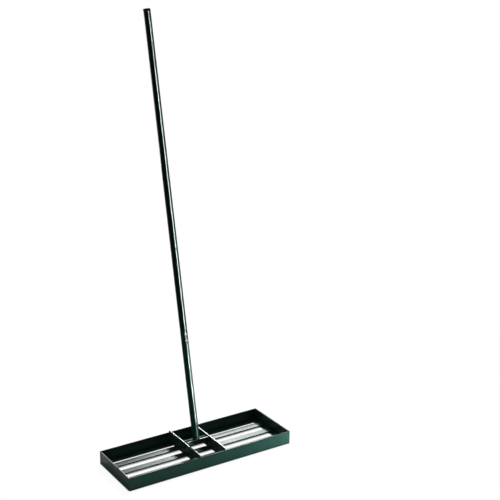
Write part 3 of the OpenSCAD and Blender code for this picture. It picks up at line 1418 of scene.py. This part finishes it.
    def joint_bolt(self, across: Line, tip: float, shank: float) -> bmesh.types.BMesh:
        """Makes a joint bolt: domed head, shank and a thinner threaded end.

        Args:
            across: the bolt's axis.
            tip: the height of its tip.
            shank: its radius.

        Returns:
            The bolt's skin.
        """
        top = across.span("upper_joint_bolt")[1]
        dome = across.widest("upper_joint_bolt")
        face = across.first("upper_joint_bolt", dome)
        rise = top - face
        ball = (dome * dome + rise * rise) / (2.0 * rise)
        swing = math.degrees(math.asin(dome / ball))
        core = shank - 0.5 * self.thread_pitch
        back = across.span("upper_joint_washer")[1]
        rings = [*threaded_end(tip, core, self.chamfer, back, shank), (shank, face),
                 (dome - self.dome_lip, face), *arc((0.0, top - ball), ball, 90.0 - swing, 90.0, 12)[:-1],
                 (0.0, top)]
        return turn(rings, 48)

    def joint(self, shop: Workshop) -> None:
        """Makes the joint's domed bolts, washers and nuts.

        Args:
            shop: the finishes and trees.
        """
        upper = self.line.origin + self.bolt_points()[0] * self.line.along
        across = Line(upper, Vector((0.0, -math.cos(self.lean), math.sin(self.lean))))
        tip = across.span("upper_joint_bolt")[0]
        shank = across.radii("upper_joint_bolt", tip)[1]
        seat = self.line.radii("lower_tube", self.line.span("lower_tube")[1])[1]
        bolts = Workpiece("joint_bolts", self.joint_bolt(across, tip, shank))
        shop.cut_thread(bolts, shop.zinc, shank, self.thread_pitch, tip + self.thread_start, -seat)
        self.set_out(bolts, shop, "joint_bolt")
        low, high = across.span("upper_joint_nut")
        bore = across.radii("upper_joint_nut", low)[0]
        flats = 2.0 * across.widest("upper_joint_nut") * math.cos(math.pi / 6.0)
        self.set_out(Workpiece("joint_lock_nuts", nut_shape(low, high, bore, flats)), shop, "joint_nut")
        low, high = across.span("upper_joint_washer")
        bore, outer = across.radii("upper_joint_washer", low)
        self.set_out(Workpiece("joint_washers", washer_shape(low, high, bore, outer)), shop, "joint_washer")

    def foot_seams(self) -> list[Seam]:
        """Gives the two arcs where the lower tube is welded to the yoke.

        Returns:
            The arcs, on the tube's right and left.
        """
        foot = self.line.span("lower_tube")[0]
        radius = self.line.radii("lower_tube", foot)[1] + 0.2 * self.bead
        height = foot + 0.1 * self.bead
        half, steps = 0.5 * self.bead_sweep, 22
        return [[self.stand @ Vector((across, along, height))
                 for across, along in arc((0.0, 0.0), radius, middle - half, middle + half, steps)]
                for middle in (0.0, 180.0)]

    def build(self, shop: Workshop, pivot: Line) -> None:
        """Makes the handle from its foot to its cap.

        Args:
            shop: the finishes and trees.
            pivot: the axis that it turns on.
        """
        lower_seam = self.line.span("lower_tube")[1]
        upper_seam = self.line.span("middle_tube")[1]
        lower, middle, top = TUBES
        for name, shape, finish, node in (
                ("yoke_bar", self.yoke(pivot), shop.yoke_paint, "yoke"),
                # the tubes take copies of the green paint with painted shade and painted light in their tones
                (lower, self.plain_tube("lower_tube"), shop.foot_lit_paint, "lower_tube"),
                (middle, self.drawn_tube("middle_tube", lower_seam), shop.tube_shaded_paint, "middle_tube"),
                (top, self.drawn_tube("top_tube", upper_seam), shop.tube_shaded_paint, "top_tube"),
                ("handle_cap", self.cap(), shop.plastic, "end_cap")):
            Workpiece(name, shape).place(Body.HANDLE, finish, node)
        self.joint(shop)
        shop.weld("foot_weld", self.foot_seams(), self.bead, Body.HANDLE)


@dataclass(frozen=True)
class Lamp:
    """A soft rectangular lamp, aimed at a point.

    Its glow is the brightness of its face along its axis, where 1 is white. A lamp that names pieces lights
    those alone.
    """

    name: str
    spot: tuple[float, float, float]
    aim: tuple[float, float, float]
    width: float
    height: float
    glow: float
    spread: float = 180.0
    reach: Reach = Reach.ALL
    pieces: tuple[str, ...] = ()

    def build(self) -> None:
        """Hangs the lamp."""
        data = bpy.data.lights.new(self.name, "AREA")
        data.shape = "RECTANGLE"
        data.size, data.size_y = self.width, self.height
        data.spread = math.radians(self.spread)
        half = math.radians(0.5 * self.spread)
        data.energy = math.pi * self.glow * self.width * self.height * (1.0 - half / math.tan(half))
        lamp = put(self.name, data)
        lamp.location = self.spot
        lamp.rotation_euler = (Vector(self.aim) - Vector(self.spot)).to_track_quat("-Z", "Y").to_euler()
        lamp.visible_camera = False
        lamp.visible_diffuse = self.reach is not Reach.GLOSS
        lamp.visible_glossy = self.reach is not Reach.FILL
        if self.pieces:
            lit = bpy.data.collections.new(self.name + "_pieces")
            lamp.light_linking.receiver_collection = lit
            for piece in self.pieces:
                lit.objects.link(bpy.data.objects[piece])


@dataclass
class Studio:
    """A white floor, soft lamps and the camera.

    The camera's image, focal length and centre are in pixels, and its azimuth and pitch in degrees. The floor
    shows white with a share of its lit face, and is dimmer as a source of light.
    """

    image: float = 500.0
    focal: float = 1053.7
    centre: tuple[float, float] = (195.0, 230.0)
    azimuth: float = -31.04
    pitch: float = 16.40
    spot: tuple[float, float, float] = (-2.0291, -3.3586, 2.1162)
    sensor: float = 36.0
    floor_size: float = 60.0
    floor_drop: float = 0.3 * MM
    floor_white: float = 0.8
    shadow_from: float = 0.6
    shadow_to: float = 2.2
    # how far the floor's painted contact shadow reaches
    contact_shadow_reach: float = 7.0 * MM
    shadow_share: float = 0.05
    mirror_share: float = 0.85
    bounce: float = 0.12
    ambient: float = 0.10
    lamps: tuple[Lamp, ...] = (
        Lamp("key_softbox", (2.10, 3.00, 2.50), (0.20, 0.0, 0.05), 0.90, 0.90, 235.0, spread=22.0),
        Lamp("floor_softbox", (1.30, 0.70, 3.00), (-0.30, 0.0, 0.0), 0.70, 0.70, 120.0, pieces=("floor",)),
        Lamp("tube_strip", (0.482, -0.819, 1.20), (0.0, 0.0, 1.20), 0.20, 2.30, 2000.0, reach=Reach.GLOSS,
             pieces=TUBES),
        Lamp("rim_strip", (-0.29, 1.30, 1.45), (0.0, 0.28, 1.35), 0.60, 1.10, 30.0, reach=Reach.GLOSS,
             pieces=TUBES),
        Lamp("low_strip", (-0.10, -1.35, 0.028), (-0.10, 0.0, 0.028), 2.40, 0.05, 25.0, reach=Reach.FILL),
        Lamp("low_card", (0.62, -0.38, 0.03), (0.30, -0.13, 0.03), 0.20, 0.05, 205.0, reach=Reach.FILL),
        Lamp("yoke_card", (0.68, 1.32, 0.25), (0.0, 0.0, 0.06), 0.60, 0.30, 8.0, reach=Reach.GLOSS,
             pieces=("yoke_bar",)),
        Lamp("overhead", (-0.4, -0.6, 3.4), (0.0, 0.0, 0.2), 1.8, 1.8, 0.6))

    def seen(self, graph: Graph) -> Wire:
        """Gives 1 for rays that show the background: camera, mirror and glass rays.

        Args:
            graph: the graph of the world or the floor.

        Returns:
            1 or 0.
        """
        path = graph.add("ShaderNodeLightPath")
        shown = path.pick("Is Camera Ray") + path.pick("Is Glossy Ray") + path.pick("Is Transmission Ray")
        return graph.add("ShaderNodeClamp", {}, {"Value": shown})

    def world(self) -> None:
        """Makes the white surround, which lights the object more softly than it looks."""
        world = bpy.data.worlds.new("white_surround")
        graph = blank_graph(world)
        strength = self.ambient + (1.0 - self.ambient) * self.seen(graph)
        light = graph.add("ShaderNodeBackground", {}, {"Color": (1.0, 1.0, 1.0, 1.0), "Strength": strength})
        graph.add("ShaderNodeOutputWorld", {}, {"Surface": light})
        bpy.context.scene.world = world

    def floor_material(self) -> bpy.types.Material:
        """Makes the floor's material: white in the picture, with the object's shadow, and clear from below.

        Its white is darkened by a painted contact shadow where the object's parts stand close to it.

        Returns:
            The material.
        """
        material = bpy.data.materials.new("white_floor")
        graph = blank_graph(material)
        away = graph.add("ShaderNodeVectorMath", {"operation": "LENGTH"}, {0: graph.place()}).pick("Value")
        near = 1.0 - graph.between(away, self.shadow_from, self.shadow_to)
        mirrored = graph.add("ShaderNodeLightPath").pick("Is Glossy Ray")
        share = self.shadow_share + (self.mirror_share - self.shadow_share) * mirrored
        bounce, shown = (graph.add("ShaderNodeBsdfDiffuse", {}, {"Color": (grey, grey, grey, 1.0)})
                         for grey in (self.bounce, self.floor_white))
        # painted shadow: a short-range occlusion darkens the floor's white where parts stand on it
        corner = graph.add("ShaderNodeAmbientOcclusion", {"samples": 8},
                           {"Distance": self.contact_shadow_reach}).pick("AO")
        white = graph.add("ShaderNodeEmission", {}, {"Color": graph.between(corner, 0.4, 0.9)})
        picture = graph.join(share * near, white, shown)
        lit = graph.join(self.seen(graph), bounce, picture)
        below = graph.add("ShaderNodeNewGeometry").pick("Backfacing")
        clear = graph.add("ShaderNodeBsdfTransparent")
        graph.add("ShaderNodeOutputMaterial", {}, {"Surface": graph.join(below, lit, clear)})
        return material

    def floor(self) -> None:
        """Lays the floor just under the sole."""
        half = 0.5 * self.floor_size
        shape = bmesh.new()
        shape.faces.new([shape.verts.new((x * half, y * half, -self.floor_drop))
                         for x, y in ((-1, -1), (1, -1), (1, 1), (-1, 1))])
        mesh = mesh_of("floor", shape)
        mesh.materials.append(self.floor_material())
        floor = put("floor", mesh)

    def camera(self) -> None:
        """Sets up the camera at the photograph's place."""
        data = bpy.data.cameras.new("camera")
        data.sensor_width = self.sensor
        data.lens = self.focal * self.sensor / self.image
        data.shift_x = 0.5 - self.centre[0] / self.image
        data.shift_y = self.centre[1] / self.image - 0.5
        camera = put("camera", data)
        camera.location = self.spot
        camera.rotation_euler = (math.radians(90.0 - self.pitch), 0.0, math.radians(self.azimuth))
        bpy.context.scene.camera = camera

    def build(self) -> None:
        """Makes the surround, the floor, the lamps and the camera."""
        bpy.context.scene.view_settings.view_transform = "Standard"
        self.world()
        self.floor()
        self.camera()
        for lamp in self.lamps:
            lamp.build()


def main() -> None:
    """Builds the rake and its studio."""
    logging.basicConfig(level=logging.INFO, format="%(name)s: %(message)s")
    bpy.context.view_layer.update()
    shop = Workshop()
    pivot = Pivot.from_frame()
    HeadFrame.from_frame().build(shop)
    Rack.from_frame().build(shop)
    pivot.build(shop)
    Handle.from_frame().build(shop, pivot.axis)
    Studio().build()


if __name__ == "__main__":
    main()
